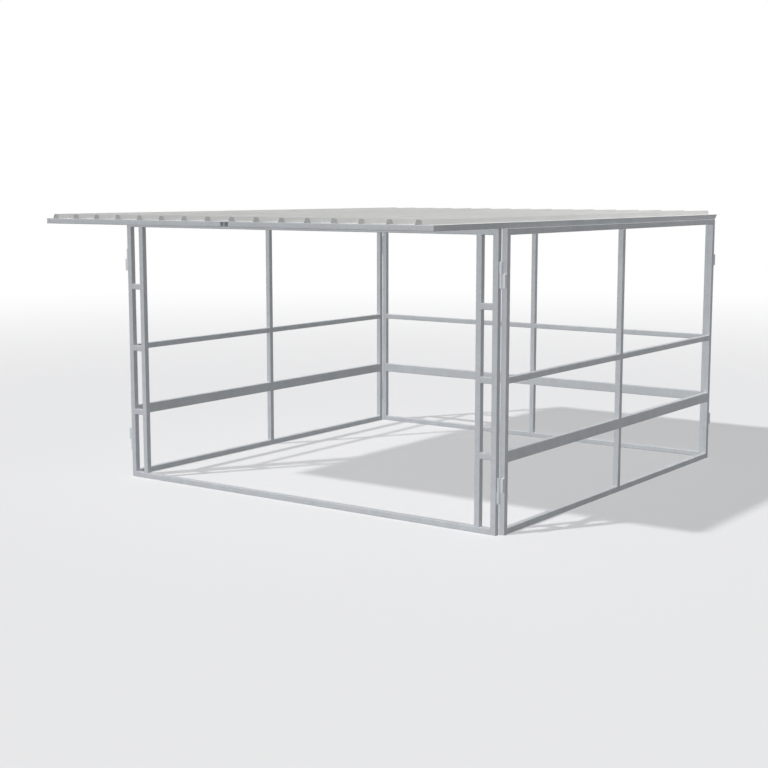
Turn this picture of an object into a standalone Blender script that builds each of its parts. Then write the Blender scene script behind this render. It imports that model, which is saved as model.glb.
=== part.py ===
"""Stable shelter: four welded panels of square tube, hinged together at the corners, under a flat roof.

Every panel is as long as the others. Two posts meet corner to corner at each corner of the stall,
and the hinges sit in the notch outside them, each with a loose pin that lifts out upwards.
The roof lies on the panels: two frames bolted side by side, covered with three ribbed sheets.
X runs along the front, Y to the back, Z up, and the origin lies on the ground, in the middle.
"""

from math import atan2, pi, radians, sin, tan

import bmesh
import bpy
from mathutils import Matrix, Vector

# Gap left where one piece is welded to another, or rests on it
SEAT_GAP = 0.0003

# Panels
PANEL_LENGTH = 3.6
PANEL_HEIGHT = 2.155
TUBE = 0.045
TUBE_WALL = 0.002
TUBE_CORNER = 0.005
WIDE_RAIL_HEIGHT = 0.082
WIDE_RAIL_CENTRE = 0.560
MID_RAIL_CENTRE = 1.099
HIGH_RUNG_CENTRE = 1.615
LADDER_GAP = 0.090

# Hinges: the narrow half is on the front and back panels, the wide half on the side panels
HINGE_INSET = 0.312
HINGE_AXIS_OUT = 0.012
HINGE_AXIS_BACK = 0.020
BARREL_RADIUS = 0.0115
NARROW_KNUCKLE = 0.082
WIDE_KNUCKLE = 0.096
KNUCKLE_GAP = 0.001
WELD_DEPTH = 0.001
WELD_WIDTH = 0.013
LUG_OVERLAP = 0.003

# Hinge pins
PIN_RADIUS = 0.006
PIN_CLEARANCE = 0.0004
PIN_HEAD_RADIUS = 0.010
PIN_HEAD_HEIGHT = 0.005
PIN_TIP = 0.010
PIN_TIP_TAPER = 0.004
PIN_HEAD_EDGE = 0.0015

# Roof frame
ROOF_WIDTH = 3.64
FRONT_OVERHANG = 0.834
BACK_OVERHANG = 0.050
BEAM = 0.040
BEAM_WALL = 0.002
BEAM_CORNER = 0.005
HALF_GAP = 0.001
ROOF_SPLIT = 0.038
BACK_CUT = 0.045
BACK_BEAM_INSET = 0.010
VENT_INSET = 0.033
VENT_RADIUS = 0.0065

# Roof sheets
SHEET_THICKNESS = 0.0007
SHEET_COUNT = 3
RIBS_PER_SHEET = 5
RIB_PITCH = 0.228
RIB_HEIGHT = 0.034
RIB_CROWN = 0.034
RIB_BASE = 0.062
SHEET_FRONT_OVERHANG = 0.004
SHEET_BACK_OVERHANG = 0.008
SHEET_SIDE_OVERHANG = 0.028
LAP_CLEARANCE = 0.0004
LAP_LIP = 0.012

# Facets on a round piece, and on each rounded corner of a tube. Flatter edges than SHARP are smooth.
ROUND_STEPS = 24
CORNER_STEPS = 3
SHARP = radians(35)

# Finishes: colour, roughness and metallic value
TUBE_STEEL = ((0.42, 0.44, 0.46), 0.55, 0.35)
PIN_STEEL = ((0.50, 0.52, 0.54), 0.40, 0.60)
SHEET_STEEL = ((0.62, 0.63, 0.62), 0.50, 0.10)

# Places that follow from the sizes above
STALL_DEPTH = PANEL_LENGTH + 2 * TUBE
SHEET_LENGTH = SHEET_FRONT_OVERHANG + FRONT_OVERHANG + STALL_DEPTH + BACK_OVERHANG + SHEET_BACK_OVERHANG
SHEET_FRONT = -SHEET_LENGTH / 2
ROOF_FRONT = SHEET_FRONT + SHEET_FRONT_OVERHANG
FRONT_FACE = ROOF_FRONT + FRONT_OVERHANG
BACK_FACE = FRONT_FACE + STALL_DEPTH
ROOF_BACK = BACK_FACE + BACK_OVERHANG
BEAM_BOTTOM = PANEL_HEIGHT + SEAT_GAP
SHEET_BOTTOM = BEAM_BOTTOM + BEAM + SEAT_GAP
UPPER_SPLIT = PANEL_HEIGHT - HINGE_INSET
LOWER_SPLIT = HINGE_INSET
BORE_RADIUS = PIN_RADIUS + PIN_CLEARANCE


def clear_scene():
    for thing in list(bpy.data.objects):
        bpy.data.objects.remove(thing)


def steel(name, finish):
    """A Principled BSDF of one finish, for one piece."""
    colour, roughness, metallic = finish
    material = bpy.data.materials.new(name)
    material.use_nodes = True
    shader = material.node_tree.nodes["Principled BSDF"]
    shader.inputs["Base Color"].default_value = (*colour, 1.0)
    shader.inputs["Roughness"].default_value = roughness
    shader.inputs["Metallic"].default_value = metallic
    return material


def add_object(name, shape, finish):
    """An object of its own from the bmesh in shape, smooth where it is round."""
    mesh = bpy.data.meshes.new(name)
    bmesh.ops.recalc_face_normals(shape, faces=shape.faces)
    shape.to_mesh(mesh)
    shape.free()
    mesh.shade_smooth()
    mesh.set_sharp_from_angle(angle=SHARP)
    mesh.materials.append(steel(name, finish))
    thing = bpy.data.objects.new(name, mesh)
    bpy.context.scene.collection.objects.link(thing)
    return thing


def as_helper(thing):
    """Keeps an object that only joins another one out of the model."""
    thing.hide_render = True
    thing.display_type = "WIRE"
    return thing


def place(thing, parent, location, turn=(0.0, 0.0, 0.0)):
    thing.parent = parent
    thing.location = location
    thing.rotation_euler = turn
    return thing


def frame_empty(name, location, turn):
    """An empty that carries the pieces of one panel or of the roof."""
    empty = bpy.data.objects.new(name, None)
    bpy.context.scene.collection.objects.link(empty)
    empty.location = location
    empty.rotation_euler = (0.0, 0.0, turn)
    return empty


def combine(thing, other, operation):
    """Welds a helper to a piece with UNION, or cuts it out with DIFFERENCE."""
    step = thing.modifiers.new(operation.lower() + "_" + other.name, "BOOLEAN")
    step.operation = operation
    step.solver = "EXACT"
    step.object = other


# Square tube


def tube_mesh(width, depth, length, wall, corner, end_cut=0.0, capped=False):
    """A hollow tube along +Z with rounded edges: a rounded frame of faces, pushed up to its length.

    With end_cut the far end is sawn at a slant, and its +Y side is that much shorter.
    A capped tube starts as a solid bar, and is hollowed from its far end down to a plate at its near end.
    """
    shape = bmesh.new()
    bmesh.ops.create_grid(shape, x_segments=1, y_segments=1, size=0.5)
    bmesh.ops.scale(shape, vec=(width, depth, 1.0), verts=shape.verts)
    bmesh.ops.bevel(
        shape,
        geom=shape.verts[:],
        offset=corner,
        segments=CORNER_STEPS,
        profile=0.5,
        affect="VERTICES",
        material=-1,
    )
    bmesh.ops.inset_region(
        shape, faces=shape.faces[:], thickness=wall, use_even_offset=True, use_boundary=True
    )
    inner = [face for face in shape.faces if not any(edge.is_boundary for edge in face.edges)]
    if not capped:
        bmesh.ops.delete(shape, geom=inner, context="FACES_ONLY")
    grown = bmesh.ops.extrude_face_region(shape, geom=shape.faces[:], use_keep_orig=True)
    far_end = [part for part in grown["geom"] if isinstance(part, bmesh.types.BMVert)]
    bmesh.ops.translate(shape, vec=(0.0, 0.0, length), verts=far_end)
    for corner_point in far_end:
        corner_point.co.z -= end_cut * (0.5 + corner_point.co.y / depth)
    if capped:
        far_faces = [part for part in grown["geom"] if isinstance(part, bmesh.types.BMFace)]
        hollow = max(far_faces, key=lambda face: len(face.verts))
        sunk = bmesh.ops.extrude_face_region(shape, geom=[hollow])
        plate = [part for part in sunk["geom"] if isinstance(part, bmesh.types.BMVert)]
        bmesh.ops.translate(shape, vec=(0.0, 0.0, wall - length), verts=plate)
        bmesh.ops.delete(shape, geom=[hollow], context="FACES_ONLY")
    return shape


def post(name, panel, x, bottom, top, capped=False):
    """An upright tube of a panel, with its middle x along the panel. A cap closes its top."""
    shape = tube_mesh(TUBE, TUBE, top - bottom, TUBE_WALL, TUBE_CORNER, capped=capped)
    upright = add_object(name, shape, TUBE_STEEL)
    return place(upright, panel, (x, TUBE / 2, top), (pi, 0.0, 0.0))


def rail(name, panel, left, right, centre, height):
    """A level tube of a panel, from left to right, at a height above the ground."""
    shape = tube_mesh(height, TUBE, right - left, TUBE_WALL, TUBE_CORNER)
    level = add_object(name, shape, TUBE_STEEL)
    return place(level, panel, (left, TUBE / 2, centre), (0.0, pi / 2, 0.0))


# Hinge halves, built round the barrel's own axis


def barrel_mesh(height):
    """The ring that the pin runs in: its wall's section, spun all the way round."""
    shape = bmesh.new()
    bmesh.ops.create_grid(shape, x_segments=1, y_segments=1, size=0.5)
    bmesh.ops.delete(shape, geom=shape.faces[:], context="FACES_ONLY")
    wall = BARREL_RADIUS - BORE_RADIUS
    bmesh.ops.scale(shape, vec=(wall, height, 1.0), verts=shape.verts)
    bmesh.ops.rotate(shape, matrix=Matrix.Rotation(pi / 2, 3, "X"), verts=shape.verts)
    bmesh.ops.translate(shape, vec=(BORE_RADIUS + wall / 2, 0.0, height / 2), verts=shape.verts)
    bmesh.ops.spin(
        shape,
        geom=shape.verts[:] + shape.edges[:],
        cent=(0.0, 0.0, 0.0),
        axis=(0.0, 0.0, 1.0),
        angle=2 * pi,
        steps=ROUND_STEPS,
        use_merge=True,
    )
    return shape


def block_mesh(low, high):
    shape = bmesh.new()
    bmesh.ops.create_cube(shape, size=1.0)
    low, high = Vector(low), Vector(high)
    bmesh.ops.scale(shape, vec=high - low, verts=shape.verts)
    bmesh.ops.translate(shape, vec=(low + high) / 2, verts=shape.verts)
    return shape


def knuckle(name, panel, end, wide, bottom):
    """One hinge half beside an end post: its barrel, and the weld or lug that ties it to the post.

    end is -1 or 1, the end of the panel. The post's end face is at end * PANEL_LENGTH / 2.
    """
    if wide:
        height = WIDE_KNUCKLE
        out, back = TUBE - HINGE_AXIS_BACK, TUBE - HINGE_AXIS_OUT
        near, far = -out - WELD_DEPTH, 0.0
        low_y, high_y = -back, -BARREL_RADIUS + LUG_OVERLAP
    else:
        height = NARROW_KNUCKLE
        out, back = HINGE_AXIS_OUT, HINGE_AXIS_BACK
        near, far = -out - WELD_DEPTH, LUG_OVERLAP - BARREL_RADIUS + WELD_DEPTH
        low_y, high_y = -WELD_WIDTH / 2, WELD_WIDTH / 2
    low_x, high_x = sorted((end * near, end * far))
    barrel = as_helper(add_object(name, barrel_mesh(height), TUBE_STEEL))
    tie = block_mesh((low_x, low_y, 0.0), (high_x, high_y, height))
    lug = as_helper(add_object(name + "_lug", tie, TUBE_STEEL))
    location = (end * (PANEL_LENGTH / 2 + out), back, bottom)
    place(barrel, panel, location)
    place(lug, panel, location)
    combine(barrel, lug, "UNION")
    return barrel


def add_knuckles(upright, panel, end, wide):
    """Welds the upper and the lower hinge half to an end post."""
    half_gap = KNUCKLE_GAP / 2
    if wide:
        bottoms = {"upper": UPPER_SPLIT - half_gap - WIDE_KNUCKLE, "lower": LOWER_SPLIT + half_gap}
    else:
        bottoms = {"upper": UPPER_SPLIT + half_gap, "lower": LOWER_SPLIT - half_gap - NARROW_KNUCKLE}
    for level, bottom in bottoms.items():
        name = upright.name + "_knuckle_" + level
        combine(upright, knuckle(name, panel, end, wide, bottom), "UNION")


# Hinge pins


def pin_mesh(length):
    """A round pin hanging from its head, whose underside is at the origin: its outline, spun."""
    outline = [
        (0.0, PIN_HEAD_HEIGHT),
        (PIN_HEAD_RADIUS - PIN_HEAD_EDGE, PIN_HEAD_HEIGHT),
        (PIN_HEAD_RADIUS, PIN_HEAD_HEIGHT - PIN_HEAD_EDGE),
        (PIN_HEAD_RADIUS, 0.0),
        (PIN_RADIUS, 0.0),
        (PIN_RADIUS, PIN_TIP_TAPER - length),
        (PIN_RADIUS - PIN_TIP_TAPER / 2, -length),
        (0.0, -length),
    ]
    shape = bmesh.new()
    points = [shape.verts.new((radius, 0.0, z)) for radius, z in outline]
    for first, second in zip(points, points[1:]):
        shape.edges.new((first, second))
    bmesh.ops.spin(
        shape,
        geom=shape.verts[:] + shape.edges[:],
        cent=(0.0, 0.0, 0.0),
        axis=(0.0, 0.0, 1.0),
        angle=2 * pi,
        steps=ROUND_STEPS,
        use_merge=True,
    )
    bmesh.ops.remove_doubles(shape, verts=shape.verts, dist=1e-6)
    return shape


def make_pins():
    """A pin in each of the two hinges of each corner, its head on the upper knuckle."""
    half_gap = KNUCKLE_GAP / 2
    tops = {
        "upper": UPPER_SPLIT + half_gap + NARROW_KNUCKLE + SEAT_GAP,
        "lower": LOWER_SPLIT + half_gap + WIDE_KNUCKLE + SEAT_GAP,
    }
    length = SEAT_GAP + NARROW_KNUCKLE + KNUCKLE_GAP + WIDE_KNUCKLE + PIN_TIP
    rows = {"front": FRONT_FACE + HINGE_AXIS_BACK, "back": BACK_FACE - HINGE_AXIS_BACK}
    for side, sign in (("left", -1), ("right", 1)):
        for row, y in rows.items():
            for level, top in tops.items():
                pin = add_object(f"pin_{row}_{side}_{level}", pin_mesh(length), PIN_STEEL)
                pin.location = (sign * (PANEL_LENGTH / 2 + HINGE_AXIS_OUT), y, top)


# Panels, each built along X with its outer face at Y = 0


def end_posts(name, panel, wide):
    """The two end posts of a panel, with their hinge halves."""
    for side, end in (("left", -1), ("right", 1)):
        x = end * (PANEL_LENGTH - TUBE) / 2
        upright = post(f"{name}_post_{side}", panel, x, 0.0, PANEL_HEIGHT, capped=True)
        add_knuckles(upright, panel, end, wide)


def make_front_panel():
    """The open front: a threshold and a top rail, and a narrow ladder beside each end post."""
    panel = frame_empty("front_panel", (0.0, FRONT_FACE, 0.0), 0.0)
    end_posts("front", panel, False)
    reach = PANEL_LENGTH / 2 - TUBE - SEAT_GAP
    rail("front_threshold_rail", panel, -reach, reach, TUBE / 2, TUBE)
    rail("front_top_rail", panel, -reach, reach, PANEL_HEIGHT - TUBE / 2, TUBE)
    rung_outer = reach
    rung_inner = PANEL_LENGTH / 2 - TUBE - LADDER_GAP + SEAT_GAP
    inner_x = PANEL_LENGTH / 2 - TUBE - LADDER_GAP - TUBE / 2
    levels = {"low": WIDE_RAIL_CENTRE, "mid": MID_RAIL_CENTRE, "high": HIGH_RUNG_CENTRE}
    for side, end in (("left", -1), ("right", 1)):
        bottom, top = TUBE + SEAT_GAP, PANEL_HEIGHT - TUBE - SEAT_GAP
        post(f"front_inner_post_{side}", panel, end * inner_x, bottom, top)
        left, right = sorted((end * rung_inner, end * rung_outer))
        for level, centre in levels.items():
            rail(f"front_rung_{side}_{level}", panel, left, right, centre, TUBE)


def make_rail_panel(name, location, turn, wide):
    """A closed panel: four rails between the end posts, and a centre post in three lengths."""
    panel = frame_empty(name + "_panel", location, turn)
    end_posts(name, panel, wide)
    reach = PANEL_LENGTH / 2 - TUBE - SEAT_GAP
    rails = {
        "bottom": (TUBE / 2, TUBE),
        "wide": (WIDE_RAIL_CENTRE, WIDE_RAIL_HEIGHT),
        "mid": (MID_RAIL_CENTRE, TUBE),
        "top": (PANEL_HEIGHT - TUBE / 2, TUBE),
    }
    for level, (centre, height) in rails.items():
        rail(f"{name}_rail_{level}", panel, -reach, reach, centre, height)
    spans = list(rails.values())
    for level, (below, above) in zip(("low", "mid", "high"), zip(spans, spans[1:])):
        bottom = below[0] + below[1] / 2 + SEAT_GAP
        top = above[0] - above[1] / 2 - SEAT_GAP
        post(f"{name}_centre_post_{level}", panel, 0.0, bottom, top)


def make_panels():
    middle = FRONT_FACE + STALL_DEPTH / 2
    side_x = PANEL_LENGTH / 2 + TUBE
    make_front_panel()
    make_rail_panel("right", (side_x, middle, 0.0), pi / 2, True)
    make_rail_panel("back", (0.0, BACK_FACE, 0.0), pi, False)
    make_rail_panel("left", (-side_x, middle, 0.0), -pi / 2, True)


# Roof frame


def long_beam(name, roof, x, front):
    """A beam from front to back. Its back end is sawn at a slant, with the longer side on top."""
    shape = tube_mesh(BEAM, BEAM, ROOF_BACK - front, BEAM_WALL, BEAM_CORNER, end_cut=BACK_CUT)
    level = add_object(name, shape, TUBE_STEEL)
    return place(level, roof, (x, front, BEAM / 2), (-pi / 2, 0.0, 0.0))


def cross_beam(name, roof, sign, outer, y, capped=False):
    """A beam across one half of the roof, from x = sign * outer in to the centre beam of that half."""
    inner = ROOF_SPLIT + sign * (HALF_GAP / 2 + BEAM + SEAT_GAP)
    length = outer - sign * inner
    shape = tube_mesh(BEAM, BEAM, length, BEAM_WALL, BEAM_CORNER, capped=capped)
    level = add_object(name, shape, TUBE_STEEL)
    return place(level, roof, (sign * outer, y, BEAM / 2), (0.0, -sign * pi / 2, 0.0))


def vent_hole(front_beam, roof):
    """A drain hole for the zinc bath, through the front wall near the left end."""
    shape = bmesh.new()
    bmesh.ops.create_cone(
        shape,
        cap_ends=True,
        segments=ROUND_STEPS,
        radius1=VENT_RADIUS,
        radius2=VENT_RADIUS,
        depth=BEAM,
    )
    cutter = as_helper(add_object("vent_cutter", shape, TUBE_STEEL))
    place(cutter, roof, (VENT_INSET - ROOF_WIDTH / 2, ROOF_FRONT, BEAM / 2), (pi / 2, 0.0, 0.0))
    combine(front_beam, cutter, "DIFFERENCE")


def make_roof_frame(roof):
    """Two frames side by side. Their inner beams run through and show open ends at the front."""
    outer = ROOF_WIDTH / 2
    front_y = ROOF_FRONT + BEAM / 2
    back_y = ROOF_BACK - BACK_CUT - BACK_BEAM_INSET - BEAM / 2
    purlin_y = (front_y + back_y) / 2
    for side, sign in (("left", -1), ("right", 1)):
        centre_x = ROOF_SPLIT + sign * (HALF_GAP + BEAM) / 2
        long_beam(f"roof_centre_beam_{side}", roof, centre_x, ROOF_FRONT)
        side_front = ROOF_FRONT + BEAM + SEAT_GAP
        long_beam(f"roof_side_beam_{side}", roof, sign * (outer - BEAM / 2), side_front)
        front = cross_beam(f"roof_front_beam_{side}", roof, sign, outer, front_y, capped=True)
        if sign < 0:
            vent_hole(front, roof)
        between = outer - BEAM - SEAT_GAP
        cross_beam(f"roof_purlin_{side}", roof, sign, between, purlin_y)
        cross_beam(f"roof_back_beam_{side}", roof, sign, between, back_y)


# Roof sheets


def rib_points(centre, raised=0.0):
    """The corners of one rib's section. A raised rib is wider all round, and covers a plain one."""
    base, crown = RIB_BASE / 2, RIB_CROWN / 2
    slope = atan2(RIB_HEIGHT, base - crown)
    spread = raised * tan(slope / 2)
    top = RIB_HEIGHT + raised
    return [
        (centre - base - spread, raised),
        (centre - crown - spread, top),
        (centre + crown + spread, top),
        (centre + base + raised / sin(slope), 0.0),
    ]


def sheet_section(index):
    """The section of one sheet, from its left edge to its right edge, as points in X and Z."""
    half = SHEET_COUNT * RIBS_PER_SHEET * RIB_PITCH / 2
    edge = ROOF_WIDTH / 2 + SHEET_SIDE_OVERHANG
    first = index * RIBS_PER_SHEET
    centres = [(first + step) * RIB_PITCH - half for step in range(RIBS_PER_SHEET + 1)]
    lifted = SHEET_THICKNESS + LAP_CLEARANCE
    points = []
    if index == 0:
        points.append((-edge, 0.0))
        points += rib_points(centres[0])
    else:
        lap = rib_points(centres[0], lifted)
        points.append((lap[0][0] - LAP_LIP, lifted))
        points += lap
    for centre in centres[1:]:
        points += rib_points(centre)
    if index == SHEET_COUNT - 1:
        points.append((edge, 0.0))
    return points


def sheet_mesh(index):
    """The sheet's section pulled along Y, with no thickness yet."""
    shape = bmesh.new()
    corners = [shape.verts.new((x, 0.0, z)) for x, z in sheet_section(index)]
    edges = [shape.edges.new(pair) for pair in zip(corners, corners[1:])]
    grown = bmesh.ops.extrude_edge_only(shape, edges=edges)
    far_end = [part for part in grown["geom"] if isinstance(part, bmesh.types.BMVert)]
    bmesh.ops.translate(shape, vec=(0.0, SHEET_LENGTH, 0.0), verts=far_end)
    return shape


def make_roof_sheets(roof):
    """Three ribbed sheets, each lapped over one rib of the sheet on its left."""
    for index, side in enumerate(("left", "middle", "right")):
        sheet = add_object(f"roof_sheet_{side}", sheet_mesh(index), SHEET_STEEL)
        place(sheet, roof, (0.0, SHEET_FRONT, SHEET_BOTTOM - BEAM_BOTTOM))
        if sheet.data.polygons[0].normal.z < 0:
            sheet.data.flip_normals()
        skin = sheet.modifiers.new("thickness", "SOLIDIFY")
        skin.thickness = SHEET_THICKNESS
        skin.offset = 1.0
        skin.use_even_offset = True


def main():
    clear_scene()
    make_panels()
    make_pins()
    roof = frame_empty("roof", (0.0, 0.0, BEAM_BOTTOM), 0.0)
    make_roof_frame(roof)
    make_roof_sheets(roof)


main()
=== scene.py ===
# %% [markdown]
# # A stable shelter of square tube
#
# The real shelter is four flat panels of galvanised square tube, pinned together at the corners, with a
# roof frame and ribbed steel sheets on top. Its solid tubes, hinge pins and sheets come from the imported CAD
# model, which stays exactly where it is. Here they get their finish, and the small things that are made by
# hand are added: weld beads, roofing screws, bolts. Loading the model is the first step, because every
# piece is placed by the tubes that carry it.

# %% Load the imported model
import math
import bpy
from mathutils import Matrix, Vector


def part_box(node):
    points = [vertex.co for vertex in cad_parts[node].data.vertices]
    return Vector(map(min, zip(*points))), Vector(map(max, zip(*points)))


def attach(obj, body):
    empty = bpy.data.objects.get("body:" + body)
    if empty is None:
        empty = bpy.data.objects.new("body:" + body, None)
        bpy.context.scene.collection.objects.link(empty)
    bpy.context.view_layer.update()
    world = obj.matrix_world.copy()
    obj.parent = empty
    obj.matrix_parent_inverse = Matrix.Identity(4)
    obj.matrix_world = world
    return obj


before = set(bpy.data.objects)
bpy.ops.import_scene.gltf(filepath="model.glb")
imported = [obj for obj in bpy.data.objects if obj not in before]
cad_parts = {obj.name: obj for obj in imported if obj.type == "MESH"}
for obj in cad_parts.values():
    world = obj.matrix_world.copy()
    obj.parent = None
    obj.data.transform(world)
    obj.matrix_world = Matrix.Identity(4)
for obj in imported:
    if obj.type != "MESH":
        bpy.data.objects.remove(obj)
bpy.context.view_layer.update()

# %% [markdown]
# ## The camera
#
# The photograph was taken from the front right, a little above the roof. The place, the direction and the
# lens were worked out from the straight edges of the tubes, so they are typed in as they were found.

# %% Camera
import bpy

CAMERA_PLACE = (6.8335, -9.8093, 2.4293)
CAMERA_TILT = 82.11
CAMERA_TURN = 35.682
LENS = 66.26

scene = bpy.context.scene
camera_data = bpy.data.cameras.new("photo_camera")
camera_data.lens = LENS
camera_data.sensor_width = 36.0
camera_data.clip_end = 300.0
camera = bpy.data.objects.new("photo_camera", camera_data)
camera.location = CAMERA_PLACE
camera.rotation_euler = (math.radians(CAMERA_TILT), 0.0, math.radians(CAMERA_TURN))
scene.collection.objects.link(camera)
scene.camera = camera
print("camera at", CAMERA_PLACE, "lens", LENS)

# %% [markdown]
# ## Soft shading on the CAD tubes
#
# The tubes arrive as loose triangles, each with its own corner points, and rolled corners then show
# flat strips. A real tube is bent from one strip of steel, so its corners are round. The mesh itself stays
# as it is. A small geometry nodes group joins the points where triangles meet, shades everything smooth,
# and keeps the edges sharper than 35 degrees crisp. A Weighted Normal modifier after it keeps the wide
# flats flat.

# %% Shading modifiers
CRISP_ANGLE = math.radians(35.0)
JOIN_DISTANCE = 0.00001


def shading_group():
    group = bpy.data.node_groups.new("rolled_corners", "GeometryNodeTree")
    group.interface.new_socket(name="Geometry", in_out="INPUT", socket_type="NodeSocketGeometry")
    group.interface.new_socket(name="Geometry", in_out="OUTPUT", socket_type="NodeSocketGeometry")
    nodes, links = group.nodes, group.links
    start = nodes.new("NodeGroupInput")
    join = nodes.new("GeometryNodeMergeByDistance")
    join.inputs["Distance"].default_value = JOIN_DISTANCE
    forget = nodes.new("GeometryNodeRemoveAttribute")
    forget.inputs["Name"].default_value = "custom_normal"
    faces = nodes.new("GeometryNodeSetShadeSmooth")
    faces.domain = "FACE"
    edges = nodes.new("GeometryNodeSetShadeSmooth")
    edges.domain = "EDGE"
    edges.inputs["Shade Smooth"].default_value = False
    angle = nodes.new("GeometryNodeInputMeshEdgeAngle")
    crisp = nodes.new("FunctionNodeCompare")
    crisp.data_type = "FLOAT"
    crisp.operation = "GREATER_THAN"
    crisp.inputs[1].default_value = CRISP_ANGLE
    end = nodes.new("NodeGroupOutput")
    links.new(start.outputs[0], join.inputs["Geometry"])
    links.new(join.outputs[0], forget.inputs["Geometry"])
    links.new(forget.outputs[0], faces.inputs[0])
    links.new(faces.outputs[0], edges.inputs[0])
    links.new(angle.outputs["Unsigned Angle"], crisp.inputs[0])
    links.new(crisp.outputs["Result"], edges.inputs["Selection"])
    links.new(edges.outputs[0], end.inputs[0])
    return group


rolled_corners = shading_group()
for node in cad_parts.values():
    shading = node.modifiers.new("rolled_corners", "NODES")
    shading.node_group = rolled_corners
    weighted = node.modifiers.new("flat_sides", "WEIGHTED_NORMAL")
    weighted.keep_sharp = True
print("shaded", len(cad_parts), "CAD nodes")

# %% [markdown]
# ## Node helpers
#
# Every finish below is a small tree of shader nodes. A few helpers keep the cells short: they add a node
# with its settings, start a shared group with named inputs and outputs, use such a group, start a material,
# and wire a surface into its shader. A mix node has sockets for every kind of data under the same names, so
# those are picked by number.

# %% Node helpers


def add_node(tree, kind, values=None, **settings):
    node = tree.nodes.new(kind)
    for name, value in settings.items():
        setattr(node, name, value)
    for name, value in (values or {}).items():
        node.inputs[name].default_value = value
    return node


def new_group(name, inputs, outputs):
    group = bpy.data.node_groups.new(name, "ShaderNodeTree")
    for label, kind, value in inputs:
        socket = group.interface.new_socket(name=label, in_out="INPUT", socket_type=kind)
        socket.default_value = value
    for label, kind in outputs:
        group.interface.new_socket(name=label, in_out="OUTPUT", socket_type=kind)
    return group


def use_group(tree, group, values):
    node = tree.nodes.new("ShaderNodeGroup")
    node.node_tree = group
    for label, value in values.items():
        node.inputs[label].default_value = value
    return node


def new_finish(name):
    """A new material, with its tree and its shader."""
    finish = bpy.data.materials.new(name)
    finish.use_nodes = True
    tree = finish.node_tree
    return finish, tree, tree.nodes["Principled BSDF"]


def wire_surface(tree, shader, colour, roughness, height, strength, distance):
    """Wires a colour, a roughness and the bump of a height into the shader."""
    relief = add_node(tree, "ShaderNodeBump", {"Strength": strength, "Distance": distance})
    tree.links.new(colour, shader.inputs["Base Color"])
    tree.links.new(roughness, shader.inputs["Roughness"])
    tree.links.new(height, relief.inputs["Height"])
    tree.links.new(relief.outputs["Normal"], shader.inputs["Normal"])


FLOAT = "NodeSocketFloat"
COLOUR = "NodeSocketColor"
FLOAT_A = 2
FLOAT_B = 3
COLOUR_A = 6
COLOUR_B = 7
COLOUR_OUT = 2
print("sockets", FLOAT, COLOUR)

# %% [markdown]
# ## Zinc
#
# The tubes are dipped in molten zinc after welding. Zinc freezes in crystals a centimetre or so across,
# each a slightly different grey, and later it dulls in soft clouds. A Voronoi texture gives the crystals, one
# random value for each cell, and noise bends their borders so that they don't look like tiles. Broad noise
# gives the clouds and fine noise the grain. The group puts out colour, roughness and height, and each
# material chooses its own greys.

# %% Zinc group
CRYSTAL_BEND = 0.016
GRAIN_SHARE = 0.18
CRYSTAL_RELIEF = 0.35


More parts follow.
